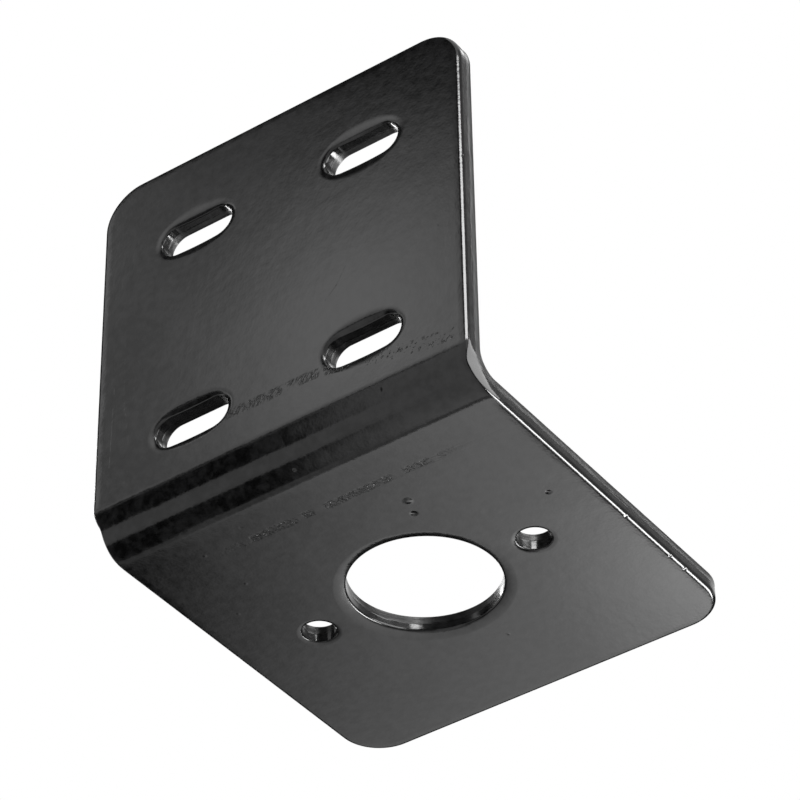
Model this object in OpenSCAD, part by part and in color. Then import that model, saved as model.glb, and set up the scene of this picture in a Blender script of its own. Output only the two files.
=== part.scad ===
// L-shaped motor bracket, folded once from a punched sheet.
// The origin is where the motor axis meets the outer face of the motor flange.
// X runs along the fold, the motor flange lies flat towards +Y, and the slotted flange stands up.

/* [Sheet] */
// Width of the bracket, along the fold
width = 50; // [44:0.5:80]
// Thickness of the sheet
sheet_t = 2.3; // [1.8:0.1:4]
// Inside radius of the fold
fold_r = 2.6; // [1:0.1:4]
// Radius of the four free corners
corner_r = 5.2; // [2.5:0.1:8]

/* [Slotted flange] */
// Height of the slotted flange, over the outside of the fold
slotted_h = 50.6; // [46:0.1:90]
// Width of a slot
slot_w = 4.1; // [3.2:0.1:6]
// Length of a slot, end to end
slot_len = 9.9; // [8:0.1:12]
// Distance between the two columns of slots
slot_pitch_x = 23; // [20:0.1:26]
// Distance between the two rows of slots
slot_pitch_z = 27.7; // [16:0.1:30]
// Height of the lower row of slots
slot_row_z = 11.2; // [10:0.1:14]

/* [Motor flange] */
// Depth of the motor flange, over the outside of the fold
motor_d = 51.7; // [46:0.1:90]
// Distance from the outside of the slotted flange to the motor axis
motor_axis_y = 27.6; // [22:0.1:32]
// Diameter of the opening for the motor's boss
boss_d = 17.5; // [12:0.1:20]
// Diameter of a motor screw's hole
screw_d = 4; // [3:0.1:5]
// Distance between the two motor screws
screw_pitch = 29; // [27:0.1:32]

/* [Punched edges] */
// How far the rolled rim reaches in from the sheet's outline
rim_w = 1.2; // [0.8:0.1:1.8]
// How deep the rim rolls at the outline
rim_d = 0.05; // [0.05:0.05:0.5]
// Radius left on the corner of the outline by tumbling
rim_r = 0.5; // [0.2:0.05:0.7]
// How far the rolled rim reaches out from the boss opening
boss_lip_w = 1.5; // [0.8:0.1:2]
// How deep the rim rolls at the boss opening
boss_lip_d = 0.2; // [0.15:0.05:0.5]
// Radius on the corner of the boss opening
boss_lip_r = 0.3; // [0.1:0.05:0.4]
// How far the rolled rim reaches out from a screw hole
screw_lip_w = 0.6; // [0.4:0.1:1]
// How deep the rim rolls at a screw hole
screw_lip_d = 0.1; // [0.05:0.05:0.3]
// Radius on the corner of a screw hole
screw_lip_r = 0.15; // [0.1:0.05:0.25]
// How far the drawn-in dish reaches out from the middle of a slot's side
slot_dish_side_w = 1.8; // [1:0.1:2.2]
// How far the drawn-in dish reaches past a slot's ends
slot_dish_end_w = 1.3; // [0.8:0.1:1.6]
// How deep the dish is at the middle of a slot's side
slot_dish_d = 0.3; // [0.15:0.05:0.5]
// How far the rolled rim reaches out from a slot
slot_lip_w = 0.9; // [0.6:0.1:1.2]
// How deep the rim rolls at a slot
slot_lip_d = 0.25; // [0.15:0.05:0.4]
// Radius on the corner of a slot
slot_lip_r = 0.35; // [0.2:0.05:0.45]
// Bevel left at the back of every opening
back_break = 0.15; // [0.05:0.05:0.3]

/* [Hidden] */
$fn = 96;
paint = [0.07, 0.07, 0.075];
// Outside radius of the fold
fold_outer_r = fold_r + sheet_t;
// Share of its mean slope at which a rolled rim leaves the flat face
rim_lead = 0.35;
// Overshoot of every cut past the surface that it opens
over = 0.5;
// How far the corner's rounding stands proud where it runs into the rolled rim
blend = 0.002;

// Radius of a rolled rim of width w and depth d
function roll_r(w, d) = norm([w, d]) / (2 * sin((1 - rim_lead) * atan(d / w)));

// Middle of a rolled rim's arc, from the point at the rim's edge on the flat face's level
function roll_middle(w, d) = let (lead = rim_lead * atan(d / w), r = roll_r(w, d))
    [w + r * sin(lead), r * cos(lead)];

// What a rolled rim takes off an edge: x runs into the face from the edge, y runs into the sheet
module roll_over(w, d) {
    middle = roll_middle(w, d);
    difference() {
        translate([-over, -over]) square([middle[0] + over, d + 2 * over]);
        translate(middle) circle(roll_r(w, d));
    }
}

// What the rounding takes off the corner of a rolled rim
module corner_over(w, d, r) {
    middle = roll_middle(w, d);
    reach = roll_r(w, d) - r + blend;
    round_middle = [r, middle[1] - sqrt(reach * reach - (middle[0] - r) * (middle[0] - r))];
    outward = (round_middle - middle) / reach;
    difference() {
        polygon([round_middle, [-over, round_middle[1]], [-over, -over], round_middle + (r + over) * outward]);
        translate(round_middle) circle(r);
    }
}

// Section of the sheet from an inner point out to its edge, with the outer face at y = 0
module edge_section(reach) {
    difference() {
        square([reach, sheet_t]);
        translate([reach, 0]) mirror([1, 0]) {
            roll_over(rim_w, rim_d);
            corner_over(rim_w, rim_d, rim_r);
        }
    }
}

// Section across the whole width of the sheet
module full_section() {
    edge_section(width / 2);
    mirror([1, 0]) edge_section(width / 2);
}

// A flange that lies on its outer face and runs from y = 0 to its free end
module flange(length) {
    straight = length - corner_r;
    translate([0, straight, 0]) rotate([90, 0, 0]) linear_extrude(straight) full_section();
    translate([0, straight, 0]) rotate([90, 0, 90])
        linear_extrude(width - 2 * corner_r, center = true) edge_section(corner_r);
    for (side = [0, 1])
        mirror([side, 0, 0]) translate([width / 2 - corner_r, straight, 0])
            rotate_extrude(angle = 90) edge_section(corner_r);
}

// The fold, a quarter turn about an axis along X
module fold() {
    translate([0, fold_outer_r, fold_outer_r]) rotate([0, 90, 0]) rotate([0, 0, -90])
        rotate_extrude(angle = 90) translate([fold_outer_r, 0]) rotate(90) full_section();
}

// Turns what is drawn on a lying flange to the standing one
module stand() {
    rotate([90, 0, 180]) children();
}

module folded_sheet() {
    translate([0, fold_outer_r, 0]) flange(motor_d - fold_outer_r);
    translate([0, 0, fold_outer_r]) stand() flange(slotted_h - fold_outer_r);
    fold();
}

// Half section of a punched opening with its rolled rim: x runs out from its middle, y runs into the sheet
module punch_section(half, w, d, r) {
    translate([0, -over]) square([half, sheet_t + 2 * over]);
    translate([half, 0]) {
        roll_over(w, d);
        corner_over(w, d, r);
    }
    translate([half, sheet_t]) polygon([[-back_break, -2 * back_break], [0, -back_break], [back_break, 0],
                                        [back_break, over], [-back_break, over]]);
}

module round_opening(d, lip_w, lip_d, lip_r) {
    rotate_extrude() punch_section(d / 2, lip_w, lip_d, lip_r);
}

// A round dish with a rolling rim, one half of the shape drawn in around a slot
module dish(r) {
    rotate_extrude() {
        translate([0, -over]) square([r - slot_dish_side_w, slot_dish_d + over]);
        translate([r - slot_dish_side_w, 0]) roll_over(slot_dish_side_w, slot_dish_d);
    }
}

module slot_dish() {
    half_long = slot_len / 2 + slot_dish_end_w;
    half_wide = slot_w / 2 + slot_dish_side_w;
    plan_r = (half_long * half_long + half_wide * half_wide) / (2 * half_wide);
    intersection() {
        translate([0, half_wide - plan_r, 0]) dish(plan_r);
        translate([0, plan_r - half_wide, 0]) dish(plan_r);
    }
}

module slot_section() {
    punch_section(slot_w / 2, slot_lip_w, slot_lip_d, slot_lip_r);
}

module slot_opening() {
    straight = slot_len - slot_w;
    rotate([90, 0, 90]) linear_extrude(straight, center = true) {
        slot_section();
        mirror([1, 0]) slot_section();
    }
    for (end = [0, 1])
        mirror([end, 0, 0]) translate([straight / 2, 0, 0]) rotate([0, 0, -90])
            rotate_extrude(angle = 180) slot_section();
    slot_dish();
}

module bracket() {
    color(paint) translate([0, -motor_axis_y, 0]) difference() {
        folded_sheet();
        translate([0, motor_axis_y, 0]) {
            round_opening(boss_d, boss_lip_w, boss_lip_d, boss_lip_r);
            for (side = [-1, 1])
                translate([side * screw_pitch / 2, 0, 0])
                    round_opening(screw_d, screw_lip_w, screw_lip_d, screw_lip_r);
        }
        for (column = [-1, 1], row = [0, 1])
            translate([column * slot_pitch_x / 2, 0, slot_row_z + row * slot_pitch_z]) stand() slot_opening();
    }
}

bracket();
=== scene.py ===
"""A folded sheet bracket for a small motor, its black paint and its studio, laid out as an add-on.

It is run as a script: the frame is loaded first, then the operators model each piece inside it.
"""

from math import asin, atan2, ceil, copysign, cos, hypot, pi, radians, sin, sqrt
from typing import NamedTuple

import bmesh
import bpy
from bpy.props import FloatProperty, FloatVectorProperty, PointerProperty
from mathutils import Matrix, Vector, noise


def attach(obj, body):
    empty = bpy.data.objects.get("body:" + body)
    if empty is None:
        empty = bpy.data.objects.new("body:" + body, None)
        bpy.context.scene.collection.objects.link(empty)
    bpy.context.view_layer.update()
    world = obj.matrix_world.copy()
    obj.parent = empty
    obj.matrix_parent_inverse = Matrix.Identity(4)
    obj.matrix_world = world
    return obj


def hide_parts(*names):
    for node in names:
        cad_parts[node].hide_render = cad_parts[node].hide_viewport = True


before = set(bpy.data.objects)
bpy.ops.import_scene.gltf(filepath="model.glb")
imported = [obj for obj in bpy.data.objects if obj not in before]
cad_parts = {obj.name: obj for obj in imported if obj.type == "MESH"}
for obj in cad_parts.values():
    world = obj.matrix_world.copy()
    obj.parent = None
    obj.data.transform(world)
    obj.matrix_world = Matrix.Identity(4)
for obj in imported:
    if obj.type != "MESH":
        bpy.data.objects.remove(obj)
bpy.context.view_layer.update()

bl_info = {
    "name": "Motor Bracket",
    "version": (1, 0, 0),
    "blender": (4, 5, 0),
    "location": "3D View > Sidebar > Bracket",
    "description": "Models a folded sheet bracket with rolled rims and lipped slots, its paint and a studio",
    "category": "Add Mesh",
}

MM = 0.001
NODE = "bracket"


def mm(*values):
    """A place or a length given in millimetres, in metres."""
    return Vector(values) * MM if len(values) > 1 else values[0] * MM


TOUCHING = mm(0.002)    # places closer than this are the same
QUARTER = pi / 2


# Sizes

def length(name, text, value):
    return FloatProperty(name=name, description=text, default=mm(value), min=0, unit="LENGTH", precision=5)


class BracketSheetSizes(bpy.types.PropertyGroup):
    """Sizes of the folded sheet"""
    width: length("Width", "Width of the sheet, along the fold", 50)
    thickness: length("Thickness", "Thickness of the sheet", 2.3)
    fold_radius: length("Fold radius", "Inside radius of the fold", 2.6)
    corner_radius: length("Corner radius", "Radius of the four free corners", 5.2)
    slotted_height: length("Slotted flange", "Height of the slotted flange, over the fold's outside", 50.6)
    motor_depth: length("Motor flange", "Depth of the motor flange, over the fold's outside", 51.7)
    motor_axis: length("Motor axis", "From the outside of the slotted flange to the motor's axis", 27.6)
    rim_width: length("Rim width", "How far the rolled rim reaches in from the outline", 1.2)
    rim_depth: length("Rim depth", "How deep the rim rolls at the outline", 0.05)
    rim_radius: length("Rim rounding", "Radius left on the corner of the outline", 0.5)
    burr_radius: length("Burr rounding", "Radius of the paint over the sharp inner edge", 0.12)


class BracketOpeningSizes(bpy.types.PropertyGroup):
    """Sizes of the punched openings"""
    slot_width: length("Slot width", "Width of a slot", 4.1)
    slot_length: length("Slot length", "Length of a slot from end to end", 9.9)
    slot_pitch_x: length("Column pitch", "Distance between the two columns of slots", 23)
    slot_pitch_z: length("Row pitch", "Distance between the two rows of slots", 27.7)
    slot_row: length("Lower row", "Height of the lower row of slots", 11.2)
    slot_side_lip: length("Slot side lip", "Reach of the drawn-in rim at the middle of a slot's side", 1.75)
    slot_side_depth: length("Slot side depth", "Depth of the drawn-in rim there", 0.5)
    slot_end_lip: length("Slot end lip", "Reach of the drawn-in rim past a slot's ends", 1.1)
    slot_end_depth: length("Slot end depth", "Depth of the drawn-in rim at a slot's ends", 0.34)
    boss_diameter: length("Boss opening", "Diameter of the opening for the motor's boss", 17.5)
    boss_lip: length("Boss lip", "Reach of the rolled rim round the boss opening", 1.5)
    boss_lip_depth: length("Boss lip depth", "Depth of the rolled rim at the boss opening", 0.3)
    boss_rounding: length("Boss rounding", "Radius on the corner of the boss opening", 0.3)
    screw_diameter: length("Screw hole", "Diameter of a motor screw's hole", 4)
    screw_pitch: length("Screw pitch", "Distance between the two motor screws", 29)
    screw_lip: length("Screw lip", "Reach of the rolled rim round a screw hole", 0.6)
    screw_lip_depth: length("Screw lip depth", "Depth of the rolled rim at a screw hole", 0.1)
    screw_rounding: length("Screw rounding", "Radius on the corner of a screw hole", 0.15)
    back_break: length("Back bevel", "Bevel left at the back of every opening", 0.15)


class BracketPaint(bpy.types.PropertyGroup):
    """The black paint"""
    colour: FloatVectorProperty(name="Colour", description="Colour of the paint", subtype="COLOR", size=3,
                                default=(0.0080, 0.0080, 0.0082), min=0, max=1)
    roughness: FloatProperty(name="Roughness", description="Roughness of the paint on the rolled faces",
                             default=0.13, min=0, max=1, subtype="FACTOR")
    wall_roughness: FloatProperty(name="Wall roughness",
                                  description="Roughness of the paint on the sheared walls",
                                  default=0.17, min=0, max=1, subtype="FACTOR")
    ior: FloatProperty(name="Index of refraction", description="How strongly the paint mirrors",
                       default=1.5, min=1, max=3)


class BracketStudio(bpy.types.PropertyGroup):
    """The studio round the bracket"""
    camera_place: FloatVectorProperty(name="Camera", description="Where the camera stands",
                                      subtype="TRANSLATION", unit="LENGTH", size=3,
                                      default=(0.191447, -0.278589, -0.247713))
    camera_turn: FloatVectorProperty(name="Camera angles",
                                     description="Azimuth, elevation and roll of the camera",
                                     subtype="EULER", unit="ROTATION", size=3,
                                     default=(radians(34.90832), radians(-39.05397), radians(-0.99667)))
    lens: FloatProperty(name="Lens", description="Focal length on a 36 mm film, in millimetres",
                        default=171.0163, min=10, max=500)
    ambient: FloatProperty(name="Ambient", description="Level of the white room's light",
                           default=0.85, min=0, max=5)


# Drawing and sweeping

def deselect_all():
    if bpy.context.mode != "OBJECT":
        bpy.ops.object.mode_set(mode="OBJECT")
    bpy.ops.object.select_all(action="DESELECT")


def select_only(*objects):
    """Selects the objects alone and makes the first one active."""
    deselect_all()
    for obj in objects:
        obj.select_set(True)
    bpy.context.view_layer.objects.active = objects[0]


def start_point(name, place):
    """Starts an object as one selected point, in edit mode."""
    deselect_all()
    bpy.ops.mesh.primitive_plane_add(size=MM)
    obj = bpy.context.object
    obj.name = obj.data.name = name
    bpy.ops.object.mode_set(mode="EDIT")
    bpy.ops.mesh.select_mode(type="VERT")
    bpy.ops.mesh.merge(type="CENTER")
    bpy.ops.transform.translate(value=place)
    return obj


def push(step):
    """Extrudes what is selected along a straight line."""
    bpy.ops.mesh.extrude_region_move(TRANSFORM_OT_translate={"value": Vector(step)})


def swing(angle, steps, centre, axis):
    """Spins the selected chain round a centre, by the right-hand rule about the axis."""
    bpy.ops.mesh.spin(steps=steps, angle=-angle, center=centre, axis=axis, use_auto_merge=False)


def draw_chain(name, places):
    """Draws a chain of edges through the places, point by point, and leaves it all selected."""
    obj = start_point(name, places[0])
    for a, b in zip(places, places[1:]):
        push(b - a)
    bpy.ops.mesh.select_all(action="SELECT")
    return obj


def pick_edges(obj, test):
    """Selects the edges of obj that pass the test, and nothing else."""
    bpy.ops.mesh.select_mode(type="EDGE")
    bpy.ops.mesh.select_all(action="DESELECT")
    mesh = bmesh.from_edit_mesh(obj.data)
    for edge in mesh.edges:
        if test(edge):
            edge.select_set(True)
    mesh.select_flush_mode()
    bmesh.update_edit_mesh(obj.data)


LONG_SHARE = 0.9    # edges longer than this share of a straight run are cut


def cut_long_edges(obj, run, cuts):
    """Cuts the edges that a sweep left along straight runs, in two rounds; run is the shortest of those."""
    for pieces in (1, 1 + cuts):
        longest = run / pieces * LONG_SHARE
        pick_edges(obj, lambda edge: edge.calc_length() > longest)
        bpy.ops.mesh.subdivide(number_cuts=cuts)


def close_seams():
    bpy.ops.mesh.select_all(action="SELECT")
    bpy.ops.mesh.remove_doubles(threshold=TOUCHING)


def copy_of(obj, matrix):
    """A copy of obj with its own mesh, moved by the matrix."""
    twin = obj.copy()
    twin.data = obj.data.copy()
    bpy.context.collection.objects.link(twin)
    twin.data.transform(matrix)
    return twin


def join(objects):
    select_only(*objects)
    bpy.ops.object.join()
    return objects[0]


# Profiles, as pairs of the reach inward and the depth below the outer face

RIM_LEAD = 0.35         # share of its mean slope at which a rolled rim leaves the flat face
WALL_STEP = mm(0.14)    # spacing of the rows down a sheared wall
ROLL_STEPS = 8
ROUNDING_STEPS = 10
BURR_STEPS = 4


def arc(centre, radius, start, end, steps):
    """Points of an arc; angles run from the face's normal towards the edge."""
    angles = [start + (end - start) * i / steps for i in range(steps + 1)]
    return [(centre[0] - radius * sin(angle), centre[1] - radius * cos(angle)) for angle in angles]


def rows(top, bottom):
    """Depths of the rows down a wall, without the first."""
    count = ceil((bottom - top) / WALL_STEP)
    return [top + (bottom - top) * i / count for i in range(1, count + 1)]


def rolled_corner(reach, depth, small):
    """A rolled rim and the rounding of its corner, and the depth at which the wall starts."""
    slope = atan2(depth, reach)
    lead = RIM_LEAD * slope
    radius = hypot(reach, depth) / (2 * sin(slope - lead))
    centre = (reach + radius * sin(lead), radius * cos(lead))
    inner = radius - small
    middle = (small, centre[1] - sqrt(inner ** 2 - (centre[0] - small) ** 2))
    turn = asin((centre[0] - small) / inner)
    points = arc(centre, radius, lead, turn, ROLL_STEPS)
    return points + arc(middle, small, turn, QUARTER, ROUNDING_STEPS)[1:], middle[1]


def outline_profile(sheet):
    """The sheet's edge, from the flat outer face round to the flat inner face."""
    points, top = rolled_corner(sheet.rim_width, sheet.rim_depth, sheet.rim_radius)
    burr = sheet.burr_radius
    points += [(0, depth) for depth in rows(top, sheet.thickness - burr)]
    return points + arc((burr, sheet.thickness - burr), burr, QUARTER, pi, BURR_STEPS)[1:]


def round_profile(lip, lip_depth, rounding, sheet, openings):
    """A round opening's edge, from the flat outer face over the lip and through to the flat inner face."""
    points, top = rolled_corner(lip, lip_depth, rounding)
    back = openings.back_break
    points += [(0, depth) for depth in rows(top, sheet.thickness - back)]
    return points + [(back, sheet.thickness)]


LIP_STEPS = 16
LIP_CROWDING = 1.25     # above 1, the steps of a slot's lip are closer where it turns into the wall


def slot_profile(sheet, openings):
    """A slot's edge with an even lip, a quarter of an ellipse, before the lip is drawn out to its oval."""
    lip, depth, back = openings.slot_end_lip, openings.slot_end_depth, openings.back_break
    turns = [QUARTER * (1 - (1 - i / LIP_STEPS) ** LIP_CROWDING) for i in range(LIP_STEPS + 1)]
    points = [(lip * (1 - sin(turn)), depth * (1 - cos(turn))) for turn in turns]
    points += [(0, h) for h in rows(depth, sheet.thickness - back)]
    return points + [(back, sheet.thickness)]


# The sheet and its openings

FOLD_STEPS = 32
CORNER_STEPS = 24
OUTLINE_CUTS = 12
BOSS_STEPS = 192
SCREW_STEPS = 72
SLOT_END_STEPS = 48
SLOT_CUTS = 5


def model_folded_sheet(sheet):
    """Sweeps the edge's profile once round the whole outline and bridges the fold; the flats stay open."""
    half, corner = sheet.width / 2, sheet.corner_radius
    outer = sheet.fold_radius + sheet.thickness
    root, end = outer - sheet.motor_axis, sheet.motor_depth - sheet.motor_axis
    run_x = sheet.width - 2 * corner
    run_y = end - corner - root
    run_z = sheet.slotted_height - outer - corner
    hinge = Vector((0, root, outer))

    obj = draw_chain("folded_sheet", [Vector((-half + a, root, h)) for a, h in outline_profile(sheet)])
    push((0, run_y, 0))
    swing(-QUARTER, CORNER_STEPS, (-half + corner, end - corner, 0), (0, 0, 1))
    push((run_x, 0, 0))
    swing(-QUARTER, CORNER_STEPS, (half - corner, end - corner, 0), (0, 0, 1))
    push((0, -run_y, 0))
    swing(-QUARTER, FOLD_STEPS, hinge, (1, 0, 0))
    push((0, 0, run_z))
    swing(-QUARTER, CORNER_STEPS, (half - corner, 0, sheet.slotted_height - corner), (0, 1, 0))
    push((-run_x, 0, 0))
    swing(-QUARTER, CORNER_STEPS, (-half + corner, 0, sheet.slotted_height - corner), (0, 1, 0))
    push((0, 0, -run_z))
    swing(QUARTER, FOLD_STEPS, hinge, (1, 0, 0))
    close_seams()
    cut_long_edges(obj, min(run_x, run_y, run_z), OUTLINE_CUTS)

    def in_fold(vertex, radius):
        y, z = vertex.co.y - root, vertex.co.z - outer
        return y < TOUCHING and z < TOUCHING and abs(hypot(y, z) - radius) < TOUCHING

    for radius in (outer, sheet.fold_radius):
        pick_edges(obj, lambda edge: edge.is_boundary
                   and all(in_fold(vertex, radius) for vertex in edge.verts))
        bpy.ops.mesh.bridge_edge_loops()
    bpy.ops.object.mode_set(mode="OBJECT")
    return obj


def model_round_opening(name, diameter, profile, steps):
    """Spins the wall and lip of a round opening about the motor's axis."""
    obj = draw_chain(name, [Vector((diameter / 2 + a, 0, h)) for a, h in profile])
    swing(2 * pi, steps, (0, 0, 0), (0, 0, 1))
    close_seams()
    bpy.ops.object.mode_set(mode="OBJECT")
    return obj


def draw_in_slot_lip(obj, sheet, openings):
    """Moves a slot's even lip out to the oval that the punch draws in, wide and deep along the sides."""
    run = (openings.slot_length - openings.slot_width) / 2
    radius = openings.slot_width / 2
    half_long = openings.slot_length / 2 + openings.slot_end_lip
    half_wide = radius + openings.slot_side_lip
    bottom = sheet.thickness - openings.back_break
    span = openings.slot_side_lip - openings.slot_end_lip
    end_depth, side_depth = openings.slot_end_depth, openings.slot_side_depth
    for vertex in obj.data.vertices:
        x, y, h = vertex.co
        if h > bottom - TOUCHING:
            continue
        along = min(max(x, -run), run)
        spoke = Vector((x - along, y))
        reach = (spoke.length - radius) / openings.slot_end_lip
        spoke.normalize()
        foot = Vector((along, 0)) + spoke * radius
        # room is how far the oval lies from the slot's edge along the spoke, the root of a quadratic
        a = (spoke.x / half_long) ** 2 + (spoke.y / half_wide) ** 2
        b = foot.x * spoke.x / half_long ** 2 + foot.y * spoke.y / half_wide ** 2
        c = (foot.x / half_long) ** 2 + (foot.y / half_wide) ** 2 - 1
        room = (sqrt(b * b - a * c) - b) / a
        share = min(max((room - openings.slot_end_lip) / span, 0), 1)
        depth = end_depth + (side_depth - end_depth) * share
        place = foot + spoke * room * max(reach, 0)
        if h > end_depth:
            h = depth + (bottom - depth) * (h - end_depth) / (bottom - end_depth)
        else:
            h *= depth / end_depth
        vertex.co = (place.x, place.y, h)


def model_slot_opening(sheet, openings):
    """Sweeps a slot's wall and an even lip round its two ends, then draws the lip out to its oval."""
    radius = openings.slot_width / 2
    run = openings.slot_length - openings.slot_width
    profile = slot_profile(sheet, openings)
    obj = draw_chain("slot_opening", [Vector((run / 2, -radius - a, h)) for a, h in profile])
    swing(pi, SLOT_END_STEPS, (run / 2, 0, 0), (0, 0, 1))
    push((-run, 0, 0))
    swing(pi, SLOT_END_STEPS, (-run / 2, 0, 0), (0, 0, 1))
    push((run, 0, 0))
    close_seams()
    cut_long_edges(obj, run, SLOT_CUTS)
    bpy.ops.object.mode_set(mode="OBJECT")
    draw_in_slot_lip(obj, sheet, openings)
    return obj


def place_openings(sheet, openings):
    """The boss opening, the two screw holes and the four slots, each in its place."""
    boss_profile = round_profile(openings.boss_lip, openings.boss_lip_depth, openings.boss_rounding,
                                 sheet, openings)
    made = [model_round_opening("boss_opening", openings.boss_diameter, boss_profile, BOSS_STEPS)]
    screw_profile = round_profile(openings.screw_lip, openings.screw_lip_depth, openings.screw_rounding,
                                  sheet, openings)
    hole = model_round_opening("screw_hole", openings.screw_diameter, screw_profile, SCREW_STEPS)
    for side in (-1, 1):
        made.append(copy_of(hole, Matrix.Translation((side * openings.screw_pitch / 2, 0, 0))))
    slot = model_slot_opening(sheet, openings)
    stand = Matrix.Rotation(pi, 4, "Z") @ Matrix.Rotation(QUARTER, 4, "X")
    for column in (-0.5, 0.5):
        for row in (0, 1):
            height = openings.slot_row + row * openings.slot_pitch_z
            place = (column * openings.slot_pitch_x, -sheet.motor_axis, height)
            made.append(copy_of(slot, Matrix.Translation(place) @ stand))
    for pattern in (hole, slot):
        bpy.data.objects.remove(pattern)
    return made


def fill_flats(obj, sheet):
    """Fills the four flat faces between the outline and the openings."""
    select_only(obj)
    bpy.ops.object.mode_set(mode="EDIT")
    front = -sheet.motor_axis
    for axis, level in ((2, 0), (2, sheet.thickness), (1, front), (1, front + sheet.thickness)):
        pick_edges(obj, lambda edge: edge.is_boundary
                   and all(abs(vertex.co[axis] - level) < TOUCHING for vertex in edge.verts))
        bpy.ops.mesh.fill(use_beauty=True)
    bpy.ops.mesh.select_all(action="SELECT")
    bpy.ops.mesh.normals_make_consistent(inside=False)
    bpy.ops.object.mode_set(mode="OBJECT")


# Places in the sheet

def from_hinge(place, sheet):
    """A place's y and z from the middle of the fold, and the fold's outside radius."""
    outer = sheet.fold_radius + sheet.thickness
    return place.y + sheet.motor_axis - outer, place.z - outer, outer


def depth_in_sheet(place, sheet):
    """How deep a place lies below the sheet's outer face, round the fold too."""
    y, z, outer = from_hinge(place, sheet)
    return outer - hypot(y, z) if y < 0 and z < 0 else outer + min(y, z)


def run_along(place, sheet):
    """A place unrolled along the sheet, from the slotted flange's end of the fold."""
    y, z, outer = from_hinge(place, sheet)
    if y < 0 and z < 0:
        return atan2(-z, -y) * outer
    return outer * QUARTER + y if y >= 0 else -z


def inward_at(place, sheet):
    """The direction into the sheet from its outer face."""
    y, z, _ = from_hinge(place, sheet)
    if y < 0 and z < 0:
        return Vector((0, -y, -z)).normalized()
    return Vector((0, 0, 1)) if y >= 0 else Vector((0, 1, 0))


def note_places(obj, sheet):
    """Stores how deep each point lies in the sheet and how far along it, for grain that follows an edge."""
    mesh = obj.data
    for name, measure in (("sheet_depth", depth_in_sheet), ("sheet_run", run_along)):
        attribute = mesh.attributes.new(name, "FLOAT", "POINT")
        for vertex, entry in zip(mesh.vertices, attribute.data):
            entry.value = measure(vertex.co, sheet)


# Relief of the edges

# the facet on the fold's two outer corners: its own size, and where it grows and fades along the sheet
FACET_WIDTH = mm(0.68)
FACET_DEPTH = mm(1.45)
FACET_SOFTNESS = mm(0.18)
FACET_START = mm(0.3)
FACET_GROWTH = mm(2.2)
FACET_OVERRUN = mm(0.9)
FACET_FADE = mm(5.6)
FACET_ONSET = 4         # the facet is pressed in full from one part in so many of its size
SIDE_REACH = mm(2)      # the facet stays within this of the side


def flatten_fold_sides(obj, sheet):
    """Presses the facet that bending leaves on the fold's outer corner at both sides, with soft edges."""
    half, quarter = sheet.width / 2, (sheet.fold_radius + sheet.thickness) * QUARTER
    slope = FACET_DEPTH / FACET_WIDTH
    steep = hypot(1, slope)
    for vertex in obj.data.vertices:
        place = vertex.co
        run = run_along(place, sheet)
        grown = max(run - FACET_START, 0) / FACET_GROWTH
        left = max(quarter + FACET_OVERRUN - run, 0) / FACET_FADE
        size = min(grown, left, 1)
        reach = half - abs(place.x)
        if size == 0 or reach > SIDE_REACH:
            continue
        over = (FACET_DEPTH * size - slope * reach - depth_in_sheet(place, sheet)) / steep
        move = (over + hypot(over, FACET_SOFTNESS)) / 2 * min(size * FACET_ONSET, 1) / steep
        vertex.co = place + inward_at(place, sheet) * move - Vector((copysign(move * slope, place.x), 0, 0))


# the torn part of a sheared wall; its edges are shares of the thickness
TORN_EDGE = 0.50
TORN_BLEND = 0.30
TORN_END = 0.97
TORN_FADE = 0.10
TORN_LIMIT = 0.2            # nothing above this is torn, however far the edge wanders
EDGE_GRAIN = 1 / mm(2.2)
EDGE_STRETCH = 1.4
EDGE_WAVES = ((0.9, 0.10), (3.1, 0.06))     # how fine each wave of that edge is, and how far it wanders
TORN_DEPTH = 0.03           # in millimetres, as the lumps
LUMP_HEIGHT = 0.014
LUMP_GRAIN = 1 / mm(1.5)
LUMP_STRETCH = 3.2
LUMP_OCTAVES = 3
OPENING_SHARE = 0.5         # how much of the tearing the openings have
OUTLINE_REACH = mm(1)       # walls within this of the side belong to the outline


def roughen_walls(obj, sheet):
    """Breaks up the sheared walls: smooth near the outer face, torn and lumpy below it."""
    mesh = obj.data
    normals = [vertex.normal.copy() for vertex in mesh.vertices]
    for vertex, normal in zip(mesh.vertices, normals):
        place = vertex.co
        depth = depth_in_sheet(place, sheet) / sheet.thickness
        if depth < TORN_LIMIT or depth > TORN_END:
            continue
        along = run_along(place, sheet)
        seed = Vector((place.x * EDGE_GRAIN, along * EDGE_GRAIN, depth * EDGE_STRETCH))
        edge = TORN_EDGE + sum(wander * noise.noise(seed * fine) for fine, wander in EDGE_WAVES)
        torn = min(max((depth - edge) / TORN_BLEND, 0), 1) * min((TORN_END - depth) / TORN_FADE, 1)
        if abs(place.x) <= sheet.width / 2 - OUTLINE_REACH:
            torn *= OPENING_SHARE
        seed = Vector((place.x * LUMP_GRAIN, along * LUMP_GRAIN, depth * LUMP_STRETCH))
        lumps = noise.fractal(seed, 0.8, 2.0, LUMP_OCTAVES)
        vertex.co = place - normal * mm(max(TORN_DEPTH + LUMP_HEIGHT * lumps, 0)) * torn


# Shader nodes

def feed(tree, socket, value):
    """Gives a socket a value, or another node's output."""
    if isinstance(value, bpy.types.NodeSocket):
        tree.links.new(value, socket)
    else:
        socket.default_value = value


def add_node(tree, kind, feeds=None, **settings):
    """Adds a node, sets it, and feeds its inputs."""
    node = tree.nodes.new(kind)
    for key, value in settings.items():
        setattr(node, key, value)
    for key, value in (feeds or {}).items():
        feed(tree, node.inputs[key], value)
    return node


def calc(tree, operation, *values, clamp=False):
    """A Math node's output."""
    node = add_node(tree, "ShaderNodeMath", dict(enumerate(values)), operation=operation, use_clamp=clamp)
    return node.outputs[0]


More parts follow.
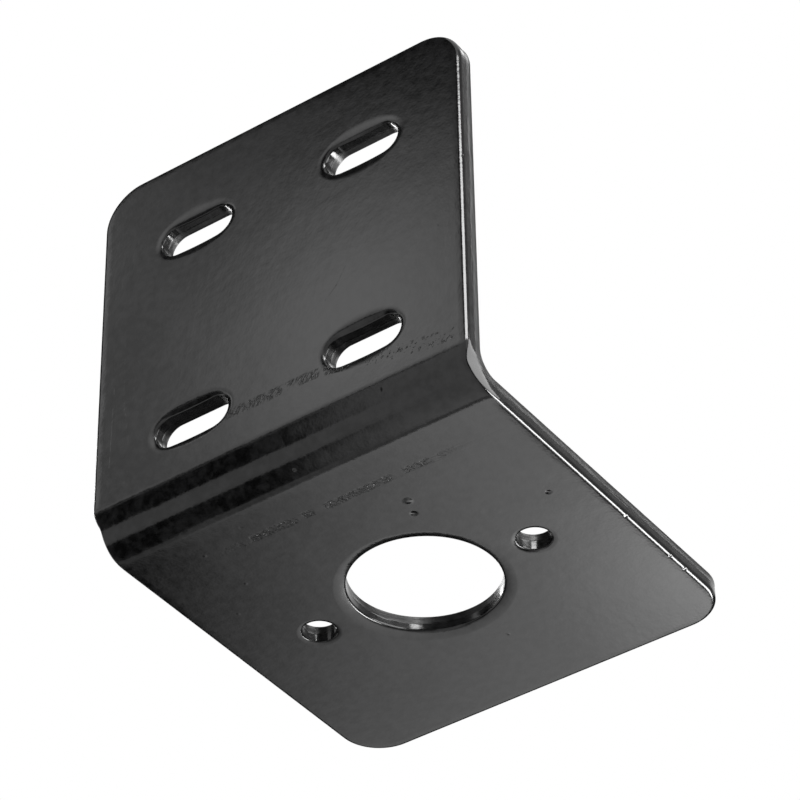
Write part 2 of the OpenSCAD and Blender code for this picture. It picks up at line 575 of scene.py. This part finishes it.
def times(tree, *values):
    """The product of two or more values."""
    total = values[0]
    for value in values[1:]:
        total = calc(tree, "MULTIPLY", total, value)
    return total


def add_up(tree, values):
    total = values[0]
    for value in values[1:]:
        total = calc(tree, "ADD", total, value)
    return total


def ramp(tree, value, low, high, to_low=0.0, to_high=1.0, smooth=True):
    """A value carried from one range to another."""
    kind = "SMOOTHSTEP" if smooth else "LINEAR"
    return add_node(tree, "ShaderNodeMapRange", {0: value, 1: low, 2: high, 3: to_low, 4: to_high},
                    interpolation_type=kind).outputs[0]


def grain(tree, place, scale, detail=2.0, rough=0.5):
    """Noise, from 0 to 1."""
    return add_node(tree, "ShaderNodeTexNoise", {"Vector": place, "Scale": scale, "Detail": detail,
                                                 "Roughness": rough}).outputs[0]


def vector_math(tree, operation, *values):
    node = add_node(tree, "ShaderNodeVectorMath", dict(enumerate(values)), operation=operation)
    return node.outputs["Value" if operation in ("DISTANCE", "DOT_PRODUCT") else "Vector"]


def scaled(tree, vector, share):
    """A vector made longer or shorter by a value."""
    return add_node(tree, "ShaderNodeVectorMath", {0: vector, 3: share}, operation="SCALE").outputs[0]


def combine(tree, x, y, z):
    return add_node(tree, "ShaderNodeCombineXYZ", {0: x, 1: y, 2: z}).outputs[0]


def separate(tree, place):
    return add_node(tree, "ShaderNodeSeparateXYZ", {0: place}).outputs


def turned(tree, place, stretch, angle, offset):
    """A flat place turned and stretched, for slanting or drawn-out grain."""
    turn = add_node(tree, "ShaderNodeMapping", {"Vector": place, "Rotation": (0, 0, angle),
                                                "Location": offset})
    return vector_math(tree, "MULTIPLY", turn.outputs[0], stretch)


def dome(tree, place, centre, reach):
    """A round spot, 1 at its middle and 0 at its reach."""
    return ramp(tree, vector_math(tree, "DISTANCE", place, centre), 0, reach, 1, 0)


def groove(tree, place, start, end, width):
    """A straight scratch, 1 along its middle and 0 past its half width."""
    run = Vector(end) - Vector(start)
    off = vector_math(tree, "SUBTRACT", place, start)
    along = vector_math(tree, "DOT_PRODUCT", off, tuple(run))
    share = calc(tree, "DIVIDE", along, run.length_squared, clamp=True)
    foot = scaled(tree, tuple(run), share)
    return ramp(tree, vector_math(tree, "DISTANCE", off, foot), 0, width / 2, 1, 0)


def band(tree, value, middle, reach, soft):
    """1 within a band of values, falling to 0 past its reach."""
    off = calc(tree, "ABSOLUTE", calc(tree, "SUBTRACT", value, middle))
    return ramp(tree, off, reach, reach + soft, 1, 0)


def new_group(name, inputs, outputs):
    """An empty node group with named sockets; each input is a name, a kind and a default."""
    group = bpy.data.node_groups.new(name, "ShaderNodeTree")
    for label, kind, default in inputs:
        socket = group.interface.new_socket(label, in_out="INPUT", socket_type="NodeSocket" + kind)
        if default is not None:
            socket.default_value = default
    for label in outputs:
        group.interface.new_socket(label, in_out="OUTPUT", socket_type="NodeSocketFloat")
    return group, group.nodes.new("NodeGroupInput").outputs, group.nodes.new("NodeGroupOutput").inputs


def use_group(tree, group, **feeds):
    node = add_node(tree, "ShaderNodeGroup", node_tree=group)
    for label, value in feeds.items():
        feed(tree, node.inputs[label], value)
    return node.outputs


def new_material(name):
    """A material with no nodes yet."""
    material = bpy.data.materials.new(name)
    material.use_nodes = True
    material.node_tree.nodes.clear()
    return material, material.node_tree


# The paint's effects, on places in millimetres

# orange peel, ripples and slow waves: how fine, detail, roughness and height
SKIN_LAYERS = ((3.2, 1.0, 0.5, 0.006), (0.9, 2.0, 0.5, 0.014), (0.16, 2.0, 0.4, 0.04))

# specks in and under the paint: how fine they are strewn, the share of spots with none, size and heights
SPECK_SCALE = 0.36
SPECK_FREE = 0.55
SPECK_SIZE = 0.075      # in the strewing's own scale, as the smallest size
SPECK_SMALLEST = 0.001
SPECK_HEIGHTS = (-0.010, 0.014)

# place, reach and height: dents are below 0, grains of dust under the paint above it
DENTS = (
    ((7.45, -13.75, 0), 0.75, 0.10), ((6.69, -11.57, 0), 0.60, -0.10), ((13.15, -7.12, 0), 0.8, -0.02),
    ((14.2, -6.5, 0), 0.5, 0.010), ((20.46, -6.07, 0), 0.5, -0.07), ((2.28, 12.84, 0), 0.35, 0.03),
    ((-16.0, -18.9, 0), 0.3, 0.02), ((-15.5, -12.2, 0), 0.3, 0.02), ((-19.6, -8.2, 0), 0.3, 0.015),
    ((0.5, -24.8, 0.46), 0.3, 0.08), ((13.6, -27.35, 3.4), 0.4, -0.03), ((-9.8, -20.6, 0), 0.35, -0.012),
    ((24.7, 2.5, 0), 0.35, -0.05), ((24.7, 11.4, 0), 0.3, -0.05), ((24.7, 14.4, 0), 0.35, -0.05),
    ((25.0, -27.3, 30.5), 0.3, -0.04),
)

# start and end, width and height
SCRATCHES = (
    ((9.36, -27.6, 22.77), (8.14, -27.6, 20.54), 0.30, -0.006),
    ((8.14, -27.6, 20.54), (6.66, -27.6, 19.16), 0.30, -0.006),
    ((-24.7, -27.6, 10.5), (-19.7, -27.6, 6.1), 0.30, -0.006),
    ((-24.2, -27.6, 9.4), (-20.6, -27.6, 6.9), 0.25, -0.005),
    ((-22.6, -27.6, 21.0), (-22.9, -27.6, 9.0), 0.25, -0.004),
    ((-21.4, -27.6, 30.0), (-21.0, -27.6, 16.0), 0.25, -0.003),
    ((-20.8, -27.6, 16.5), (-20.2, -27.6, 12.0), 0.25, -0.004),
    ((11.0, -18.6, 0), (22.6, -18.0, 0), 0.24, -0.008),
    ((9.5, -17.9, 0), (20.4, -17.3, 0), 0.22, -0.006),
)


class Lane(NamedTuple):
    """A lane of scuffs along the fold; across is the value that it is drawn on, middle its middle line"""
    across: str
    middle: float
    reach: float
    ends: tuple             # x where it begins, is full, fades and ends
    slant: float            # angle of its strokes
    stroke: tuple           # how fine its strokes are, along and across
    sparse: float           # level of the grain at which a stroke starts
    offset: tuple           # shifts its grain, so that no two lanes are alike
    strength: float


# the lanes on the slotted flange sink towards the right: from x, to x, by how much
SCUFF_SINK = (3.0, 24.0, 3.2)
SCUFF_LANES = (
    Lane("z", 9.5, 0.60, (-7.8, -6.6, 8.5, 10.5), 0.6, (3.6, 1.1, 1.0), 0.47, (0, 0, 0), 1.0),
    Lane("z", 9.5, 0.80, (9.5, 13.0, 23.5, 25.0), 0.6, (3.0, 1.6, 1.0), 0.58, (9, 0, 0), 1.0),
    Lane("y", -18.25, 0.50, (-15.0, -9.5, 10.0, 20.0), 0.6, (3.6, 1.1, 1.0), 0.44, (0, 7, 0), 1.0),
    Lane("y", -21.3, 0.35, (-9.0, -6.5, 16.0, 22.0), -0.03, (0.5, 1.6, 1.0), 0.52, (4, 4, 0), 0.10),
)
SCUFF_HEIGHT = -0.03
SCUFF_WANDER = 0.5
SCUFF_EDGE = (0.6, 0.8)                 # shares of a lane's reach: where it starts to fade, and over how much
PATCH_STRETCH = (0.45, 0.2, 1.0)
PATCH_LEVELS = (0.38, 0.48)
BREAK_LEVELS = (0.38, 0.52)             # levels of the grain between which a scratch breaks up
SLOTTED_FACE = (-27.45, -27.3)          # y, and z, over which a mark on each flange's outer face ends
MOTOR_FACE = (0.15, 0.3)


def paint_skin_group():
    """The skin of the paint: fine orange peel and slow waves, dust under it, and how its gloss varies."""
    group, given, out = new_group("paint_skin", [("Place", "Vector", None), ("Peel", "Float", 1.0),
                                                 ("Dust", "Float", 1.0)], ["Height", "Gloss"])
    place = given["Place"]
    rolling = add_up(group, [times(group, grain(group, place, scale, detail, rough), height)
                             for scale, detail, rough, height in SKIN_LAYERS])

    strewn = {"Vector": place, "Scale": SPECK_SCALE, "Randomness": 1.0}
    spots = add_node(group, "ShaderNodeTexVoronoi", strewn, feature="F1").outputs
    chance = add_node(group, "ShaderNodeSeparateColor", {0: spots["Color"]}).outputs
    size = calc(group, "MAXIMUM", ramp(group, chance[0], SPECK_FREE, 1.0, 0.0, SPECK_SIZE), SPECK_SMALLEST)
    speck = ramp(group, calc(group, "DIVIDE", spots["Distance"], size), 0.2, 1.0, 1, 0)
    speck = times(group, speck, ramp(group, chance[1], 0.0, 1.0, *SPECK_HEIGHTS, smooth=False))

    height = calc(group, "MULTIPLY_ADD", rolling, given["Peel"], times(group, speck, given["Dust"]))
    group.links.new(height, out["Height"])
    gloss = calc(group, "MULTIPLY_ADD", grain(group, place, 0.9, 4.0, 0.6), 0.6,
                 times(group, grain(group, place, 0.09, 4.0, 0.6), 0.4))
    group.links.new(gloss, out["Gloss"])
    return group


def scuffed_lane(group, lane, x, across, middle, here, wander):
    """One lane of short slanting strokes, in patches."""
    begin, full, fade, end = lane.ends
    wavy = calc(group, "MULTIPLY_ADD", wander, SCUFF_WANDER, across)
    full_reach, soft = (lane.reach * share for share in SCUFF_EDGE)
    inside = times(group, band(group, wavy, middle, full_reach, soft), here)
    inside = times(group, inside, times(group, ramp(group, x, begin, full), ramp(group, x, fade, end, 1, 0)))
    flat = combine(group, x, across, 0.0)
    strokes = grain(group, turned(group, flat, lane.stroke, lane.slant, lane.offset), 1.0, 2.0, 0.6)
    clouds = grain(group, turned(group, flat, PATCH_STRETCH, 0.0, lane.offset), 1.0, 1.0, 0.5)
    drawn = ramp(group, strokes, lane.sparse, lane.sparse + 0.1, 0.0, lane.strength)
    return times(group, inside, ramp(group, clouds, *PATCH_LEVELS), drawn)


def handling_marks_group():
    """Dents, scratches and the scuffed lanes that the press left beside the fold, two on each flange."""
    group, given, out = new_group("handling_marks", [("Place", "Vector", None)], ["Height", "Scuff"])
    place = given["Place"]
    x, y, z = separate(group, place)
    heights = [times(group, dome(group, place, centre, reach), height) for centre, reach, height in DENTS]
    broken = ramp(group, grain(group, place, 0.9, 2.0, 0.7), *BREAK_LEVELS)
    for start, end, width, height in SCRATCHES:
        heights.append(times(group, groove(group, place, start, end, width), height, broken))

    wander = calc(group, "SUBTRACT", grain(group, place, 0.5, 2.0, 0.6), 0.5)
    on_slotted = ramp(group, y, *SLOTTED_FACE, 1, 0)
    on_motor = ramp(group, z, *MOTOR_FACE, 1, 0)
    sink = ramp(group, x, SCUFF_SINK[0], SCUFF_SINK[1], 0.0, SCUFF_SINK[2])
    scuffs = []
    for lane in SCUFF_LANES:
        if lane.across == "z":
            across, middle, here = z, calc(group, "SUBTRACT", lane.middle, sink), on_slotted
        else:
            across, middle, here = y, lane.middle, on_motor
        scuffs.append(scuffed_lane(group, lane, x, across, middle, here, wander))
    scuff = add_up(group, scuffs)
    group.links.new(calc(group, "MULTIPLY_ADD", scuff, SCUFF_HEIGHT, add_up(group, heights)), out["Height"])
    group.links.new(scuff, out["Scuff"])
    return group


STREAK_STRETCH, STREAK_HEIGHT = (0.3, 0.3, 3.0), 0.035
PIT_STRETCH, PIT_HEIGHT = (1.6, 1.6, 3.6), 0.006
CUT_LEVELS = (1.45, 1.75)       # depth plus wandering between which the cut turns from smooth to torn
CUT_WANDER = 0.7
SMOOTH_SHARE = 0.25             # how much of the grain the smooth part has


def sheared_grain_group():
    """Streaks along a sheared edge and fine pits, both stronger in its torn part."""
    group, given, out = new_group("sheared_grain", [("Place", "Vector", None), ("Run", "Float", None),
                                                    ("Depth", "Float", None)], ["Height", "Torn"])
    flow = combine(group, separate(group, given["Place"])[0], given["Run"], given["Depth"])
    streaks = grain(group, vector_math(group, "MULTIPLY", flow, STREAK_STRETCH), 1.0, 2.0, 0.5)
    pits = grain(group, vector_math(group, "MULTIPLY", flow, PIT_STRETCH), 1.0, 2.0, 0.6)
    torn = ramp(group, calc(group, "MULTIPLY_ADD", streaks, CUT_WANDER, given["Depth"]), *CUT_LEVELS)
    relief = calc(group, "MULTIPLY_ADD", pits, PIT_HEIGHT, times(group, streaks, STREAK_HEIGHT))
    strength = calc(group, "MULTIPLY_ADD", torn, 1 - SMOOTH_SHARE, SMOOTH_SHARE)
    group.links.new(times(group, relief, strength), out["Height"])
    group.links.new(torn, out["Torn"])
    return group


# The two finishes

# levels of the gloss noise and what they turn the roughness and the colour into, as shares
ROUGHNESS_SWING = (0.3, 0.7, 0.9, 1.15)
SHADE_SWING = (0.38, 0.62, 0.3, 1.5)
DULL_ROUGHNESS = 0.16           # added where the paint is scuffed or torn
DULL_SHADE = -0.3


def start_paint(name):
    """An empty material, and its place in millimetres."""
    material, tree = new_material(name)
    place = add_node(tree, "ShaderNodeTexCoord").outputs["Object"]
    return material, tree, vector_math(tree, "MULTIPLY", place, (1 / MM, 1 / MM, 1 / MM))


def finish_paint(tree, paint, height, gloss, roughness, dull):
    """The lacquer itself: its colour, its gloss and the light that it mirrors."""
    low, high, glossy, matt = ROUGHNESS_SWING
    rough = ramp(tree, gloss, low, high, roughness * glossy, roughness * matt)
    rough = calc(tree, "MULTIPLY_ADD", dull, DULL_ROUGHNESS, rough)
    shade = calc(tree, "MULTIPLY_ADD", dull, DULL_SHADE, ramp(tree, gloss, *SHADE_SWING))
    colour = scaled(tree, tuple(paint.colour), shade)
    bump = add_node(tree, "ShaderNodeBump", {"Strength": 1.0, "Distance": MM, "Height": height})
    shader = add_node(tree, "ShaderNodeBsdfPrincipled", {"Base Color": colour, "Roughness": rough,
                                                         "IOR": paint.ior, "Normal": bump.outputs[0]})
    add_node(tree, "ShaderNodeOutputMaterial", {"Surface": shader.outputs[0]})


def face_paint(paint, skin):
    """The paint on the rolled faces, the fold and the rims."""
    material, tree, place = start_paint("black_paint_face")
    coat = use_group(tree, skin, Place=place, Peel=1.0, Dust=1.0)
    marks = use_group(tree, handling_marks_group(), Place=place)
    height = calc(tree, "ADD", coat["Height"], marks["Height"])
    finish_paint(tree, paint, height, coat["Gloss"], paint.roughness, marks["Scuff"])
    return material


def wall_paint(paint, skin):
    """The paint on the sheared walls."""
    material, tree, place = start_paint("black_paint_sheared_edge")
    stored = [add_node(tree, "ShaderNodeAttribute", attribute_name=name).outputs["Fac"]
              for name in ("sheet_run", "sheet_depth")]
    run, depth = (times(tree, value, 1 / MM) for value in stored)
    coat = use_group(tree, skin, Place=place, Peel=0.8, Dust=0.5)
    cut = use_group(tree, sheared_grain_group(), Place=place, Run=run, Depth=depth)
    height = calc(tree, "ADD", coat["Height"], cut["Height"])
    finish_paint(tree, paint, height, coat["Gloss"], paint.wall_roughness, cut["Torn"])
    return material


# shares of the thickness between which a face belongs to a wall
WALL_PAINT_FROM, WALL_PAINT_TO = 0.24, 0.99


def paint_sheet(obj, sheet, paint):
    """Gives the sheet's faces one finish and its sheared walls the other."""
    skin = paint_skin_group()
    obj.data.materials.clear()
    for material in (face_paint(paint, skin), wall_paint(paint, skin)):
        obj.data.materials.append(material)
    for polygon in obj.data.polygons:
        depth = depth_in_sheet(polygon.center, sheet) / sheet.thickness
        polygon.material_index = int(WALL_PAINT_FROM < depth < WALL_PAINT_TO)


SHARP_ANGLE = radians(38)


def smooth_and_weigh(obj):
    """Shades the piece smooth, keeps its corners sharp and its flats flat."""
    select_only(obj)
    bpy.ops.object.shade_smooth_by_angle(angle=SHARP_ANGLE)
    modifier = obj.modifiers.new("Weighted Normal", "WEIGHTED_NORMAL")
    modifier.mode = "FACE_AREA"
    modifier.weight = 50
    modifier.keep_sharp = True
    bpy.ops.object.modifier_apply(modifier=modifier.name)


# The studio; its places and lengths are in millimetres

class Card(NamedTuple):
    """A card that only reflections see"""
    name: str
    low_left: tuple
    low_right: tuple
    top_left: tuple
    levels: tuple           # at the lower left, lower right, upper left and upper right
    turn: tuple = None      # from and to how far from its left side it turns to another level, and that level
    glow: tuple = None      # a soft glow: how far from its left and lower side, its reach and its level


BLACK = (0, 0, 0, 0)
CARDS = (
    Card("card_motor_face", (-110, 30, -65), (12, 30, -65), (-110, 128, -65), (-1.1, 1.7, 1.1, 1.9),
         (93, 105, 0), (113, 68, 47, 2.9)),
    Card("card_slotted_face", (-110, -96, 60), (12, -96, 60), (-110, -96, 142), (0.23, 1.38, 1.1, -0.35),
         (93, 105, 0), (71, 30, 41, 0.88)),
    Card("card_above_slots", (-210, -96, 142), (12, -96, 142), (-210, 70, 142), (0.04, 0.04, 0.04, 0.04),
         (200, 212, 0)),
    Card("card_fold_upper", (-170, -112, -120), (45, -112, -120), (-170, -112, 58), (0.78, 0.8, 0.48, 0.72),
         (150, 162, 0.6)),
    Card("card_fold_lower", (-170, -112, -112), (45, -112, -112), (-170, 60, -112), (0.7, 0.7, 0.7, 1.0),
         (150, 162, 0.6)),
    Card("flag_fold_upper", (-160, -100, -26), (-24, -100, -26), (-160, -100, 42), BLACK, (119, 136, 0.68)),
    Card("flag_fold_lower", (-160, -66, -71), (-24, -66, -71), (-160, 34, -71), BLACK, (119, 136, 0.7)),
    Card("card_side_wall", (130, -84, -54), (130, 250, -54), (130, -84, 250), (0.36, 0.36, 0.36, 0.4)),
    Card("card_fold_side", (127, -60, -30), (127, 56, -30), (127, -60, 84), (6.2, 6.2, 6.2, 6.2)),
    Card("flag_side_back", (40, -110, -112), (150, -110, -112), (40, -110, 10), BLACK),
    Card("flag_side_below", (40, -112, -111), (150, -112, -111), (40, 30, -111), BLACK),
    Card("flag_slot_lips", (-170, -98, 43.5), (-4, -98, 43.5), (-170, -98, 50), BLACK, (146, 160, 0.5)),
    Card("flag_slotted_right", (12, -95, 60), (26, -95, 60), (12, -95, 150), BLACK),
    Card("card_rim_left", (-112, -95.5, 60), (-90, -95.5, 60), (-112, -95.5, 150), (1.3, 1.3, 1.3, 1.3)),
    Card("flag_rim_left", (-190, -97, 60), (-111, -97, 60), (-190, -97, 180), BLACK),
    Card("flag_rim_near", (-60, -48, 18), (-60, -9, 18), (-60, -48, 105), BLACK),
    Card("flag_motor_left", (-112, 16, -66), (-112, 142, -66), (-112, 16, 45), BLACK),
    Card("flag_motor_far", (-112, 131, -66), (60, 131, -66), (-112, 131, 45), BLACK),
    Card("flag_tangent", (-40, -17.0, -12), (30, -17.0, -12), (-40, -13.5, -12), (0.35, 0.35, 0.35, 0.35)),
    Card("card_tangent", (-40, -13.5, -12), (30, -13.5, -12), (-40, -10.3, -12), (0.06, 2.2, 0.06, 2.2)),
    Card("flag_bore_lip", (-60, 4, -70), (-20, 4, -70), (-60, 34, -70), (0.42, 0.42, 0.42, 0.42),
         (28, 39, 0.65)),
)


class Strip(NamedTuple):
    """A strip lamp"""
    name: str
    centre: tuple
    target: tuple
    size: tuple
    level: float


STRIPS = (
    Strip("strip_motor_rim", (265, 410, -375), (25, 0, 0), (880, 165), 25.0),
    Strip("strip_slotted_rim", (275, -410, 410), (25, -27, 25), (520, 120), 15.0),
    Strip("strip_walls", (60, 430, 500), (25, -10, 10), (160, 200), 3.2),
    Strip("strip_slot_ends", (-300, 205, 62), (-7, -26, 40), (130, 110), 11.0),
    Strip("strip_bore", (-217, 70, 192), (6, 7, 1), (90, 90), 10.0),
)

FLOOR_RADIUS = 2500
FLOOR_DROP = 0.2
FLOOR_SIDES = 96
FLOOR_COLOUR = (0.9, 0.9, 0.9, 1)
WHITE = (1, 1, 1, 1)
FILM_WIDTH = 36
CLIP_START = 10


def card_level(tree, card, width, height):
    """The level over a card: an even gradient between its corners, its glow and its turn."""
    axes = separate(tree, add_node(tree, "ShaderNodeTexCoord").outputs["Object"])
    u, v = (calc(tree, "MULTIPLY_ADD", axes[i], side, side / 2) for i, side in enumerate((width, height)))
    end = min(card.turn[0], width) if card.turn else width
    low, high = (ramp(tree, u, 0, end, *card.levels[i:i + 2], smooth=False) for i in (0, 2))
    level = ramp(tree, v, 0, height, low, high, smooth=False)
    if card.glow:
        glow_u, glow_v, reach, glow_level = card.glow
        away = vector_math(tree, "DISTANCE", combine(tree, u, v, 0.0), (glow_u, glow_v, 0))
        level = calc(tree, "ADD", level, ramp(tree, away, 0, reach, glow_level, 0))
    level = calc(tree, "MAXIMUM", level, 0.0)
    if card.turn:
        start, end, other = card.turn
        level = ramp(tree, u, start, end, level, other)
    return level


def place_card(card):
    """A card that shines with its own level and is seen in reflections alone."""
    low_left, low_right, top_left = mm(*card.low_left), mm(*card.low_right), mm(*card.top_left)
    across, upwards = low_right - low_left, top_left - low_left
    deselect_all()
    bpy.ops.mesh.primitive_plane_add(size=1)
    obj = bpy.context.object
    obj.name = obj.data.name = card.name
    x, y = across.normalized(), upwards.normalized()
    turn = Matrix((x, y, x.cross(y))).transposed().to_4x4()
    obj.matrix_world = (Matrix.Translation(low_left + (across + upwards) / 2) @ turn
                        @ Matrix.Diagonal((across.length, upwards.length, 1, 1)))
    material, tree = new_material(card.name)
    level = card_level(tree, card, across.length / MM, upwards.length / MM)
    light = add_node(tree, "ShaderNodeEmission", {"Color": WHITE, "Strength": level})
    add_node(tree, "ShaderNodeOutputMaterial", {"Surface": light.outputs[0]})
    obj.data.materials.append(material)
    obj.visible_camera = obj.visible_diffuse = obj.visible_transmission = False
    obj.visible_shadow = obj.visible_volume_scatter = False


def place_strip(strip):
    """A strip lamp, long across its own view of the bracket."""
    deselect_all()
    centre, target = mm(*strip.centre), mm(*strip.target)
    bpy.ops.object.light_add(type="AREA", location=centre)
    lamp = bpy.context.object
    lamp.name = lamp.data.name = strip.name
    away = (centre - target).normalized()
    lamp.matrix_world = Matrix.Translation(centre) @ away.to_track_quat("Z", "Y").to_matrix().to_4x4()
    lamp.data.shape = "RECTANGLE"
    lamp.data.size, lamp.data.size_y = mm(strip.size[0]), mm(strip.size[1])
    lamp.data.energy = strip.level * pi * lamp.data.size * lamp.data.size_y
    lamp.visible_camera = lamp.visible_diffuse = False


def light_room(ambient):
    """A white world for the camera and for reflections, and an even light of its own level for the rest."""
    world = bpy.data.worlds.new("white_room")
    bpy.context.scene.world = world
    world.use_nodes = True
    tree = world.node_tree
    tree.nodes.clear()
    ray = add_node(tree, "ShaderNodeLightPath").outputs
    mirrored = calc(tree, "MAXIMUM", ray["Is Glossy Ray"], ray["Is Transmission Ray"])
    seen = calc(tree, "MAXIMUM", ray["Is Camera Ray"], mirrored)
    level = ramp(tree, seen, 0, 1, ambient, 1.0, smooth=False)
    light = add_node(tree, "ShaderNodeBackground", {"Color": WHITE, "Strength": level})
    add_node(tree, "ShaderNodeOutputWorld", {"Surface": light.outputs[0]})


def lay_floor():
    """A pale floor just below the bracket, seen only from above."""
    deselect_all()
    bpy.ops.mesh.primitive_circle_add(vertices=FLOOR_SIDES, radius=mm(FLOOR_RADIUS), fill_type="NGON",
                                      location=(0, 0, -mm(FLOOR_DROP)))
    floor = bpy.context.object
    floor.name = floor.data.name = "floor"
    material, tree = new_material("pale_floor")
    ray = add_node(tree, "ShaderNodeLightPath").outputs
    back = add_node(tree, "ShaderNodeNewGeometry").outputs["Backfacing"]
    passing = calc(tree, "MAXIMUM", ray["Is Transmission Ray"], ray["Is Shadow Ray"])
    passing = calc(tree, "MAXIMUM", ray["Is Glossy Ray"], passing)
    passing = calc(tree, "MAXIMUM", back, passing)
    matt = add_node(tree, "ShaderNodeBsdfDiffuse", {"Color": FLOOR_COLOUR})
    clear = add_node(tree, "ShaderNodeBsdfTransparent")
    mix = add_node(tree, "ShaderNodeMixShader", {0: passing, 1: matt.outputs[0], 2: clear.outputs[0]})
    add_node(tree, "ShaderNodeOutputMaterial", {"Surface": mix.outputs[0]})
    floor.data.materials.append(material)
    floor.visible_diffuse = floor.visible_shadow = False


def look_along(azimuth, elevation, roll):
    """The camera's turn, from where it stands round the bracket."""
    back = Vector((sin(azimuth) * cos(elevation), -cos(azimuth) * cos(elevation), sin(elevation)))
    right = Vector((cos(azimuth), sin(azimuth), 0))
    above = back.cross(right)
    x = right * cos(roll) + above * sin(roll)
    y = above * cos(roll) - right * sin(roll)
    return Matrix((x, y, back)).transposed().to_4x4()


def place_camera(scene, studio):
    deselect_all()
    bpy.ops.object.camera_add()
    camera = bpy.context.object
    camera.matrix_world = Matrix.Translation(studio.camera_place) @ look_along(*studio.camera_turn)
    camera.data.sensor_width = FILM_WIDTH
    camera.data.lens = studio.lens
    camera.data.clip_start = mm(CLIP_START)
    scene.camera = camera


# Operators and panel

class BRACKET_OT_sheet(bpy.types.Operator):
    """Model the folded sheet with its rolled rims, punched openings and sheared walls"""
    bl_idname = "bracket.sheet"
    bl_label = "Folded Sheet"
    bl_options = {"REGISTER", "UNDO"}

    def execute(self, context):
        sheet, openings = context.scene.bracket_sheet, context.scene.bracket_openings
        obj = join([model_folded_sheet(sheet)] + place_openings(sheet, openings))
        fill_flats(obj, sheet)
        note_places(obj, sheet)
        flatten_fold_sides(obj, sheet)
        roughen_walls(obj, sheet)
        paint_sheet(obj, sheet, context.scene.bracket_paint)
        smooth_and_weigh(obj)
        obj.name = obj.data.name = "painted_sheet"
        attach(obj, "root")
        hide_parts(NODE)
        return {"FINISHED"}


class BRACKET_OT_studio(bpy.types.Operator):
    """Set up the floor, the soft lights, the cards and the camera"""
    bl_idname = "bracket.studio"
    bl_label = "Studio"
    bl_options = {"REGISTER", "UNDO"}

    def execute(self, context):
        studio = context.scene.bracket_studio
        light_room(studio.ambient)
        lay_floor()
        for card in CARDS:
            place_card(card)
        for strip in STRIPS:
            place_strip(strip)
        place_camera(context.scene, studio)
        context.scene.view_settings.view_transform = "Standard"
        return {"FINISHED"}


class BRACKET_PT_panel(bpy.types.Panel):
    """Lists the steps that build the bracket, and their sizes"""
    bl_idname = "BRACKET_PT_panel"
    bl_label = "Motor Bracket"
    bl_space_type = "VIEW_3D"
    bl_region_type = "UI"
    bl_category = "Bracket"

    def draw(self, context):
        for step in STEPS:
            self.layout.operator(step.bl_idname)
        for name, group in GROUPS.items():
            box = self.layout.box()
            for key in group.__annotations__:
                box.prop(getattr(context.scene, name), key)


STEPS = (BRACKET_OT_sheet, BRACKET_OT_studio)
GROUPS = {"bracket_sheet": BracketSheetSizes, "bracket_openings": BracketOpeningSizes,
          "bracket_paint": BracketPaint, "bracket_studio": BracketStudio}


def register():
    for name, group in GROUPS.items():
        bpy.utils.register_class(group)
        setattr(bpy.types.Scene, name, PointerProperty(type=group))
    for cls in (*STEPS, BRACKET_PT_panel):
        bpy.utils.register_class(cls)


def unregister():
    for cls in (BRACKET_PT_panel, *reversed(STEPS)):
        bpy.utils.unregister_class(cls)
    for name, group in reversed(GROUPS.items()):
        delattr(bpy.types.Scene, name)
        bpy.utils.unregister_class(group)


def main():
    register()
    bpy.ops.bracket.sheet()
    bpy.ops.bracket.studio()


if __name__ == "__main__":
    main()
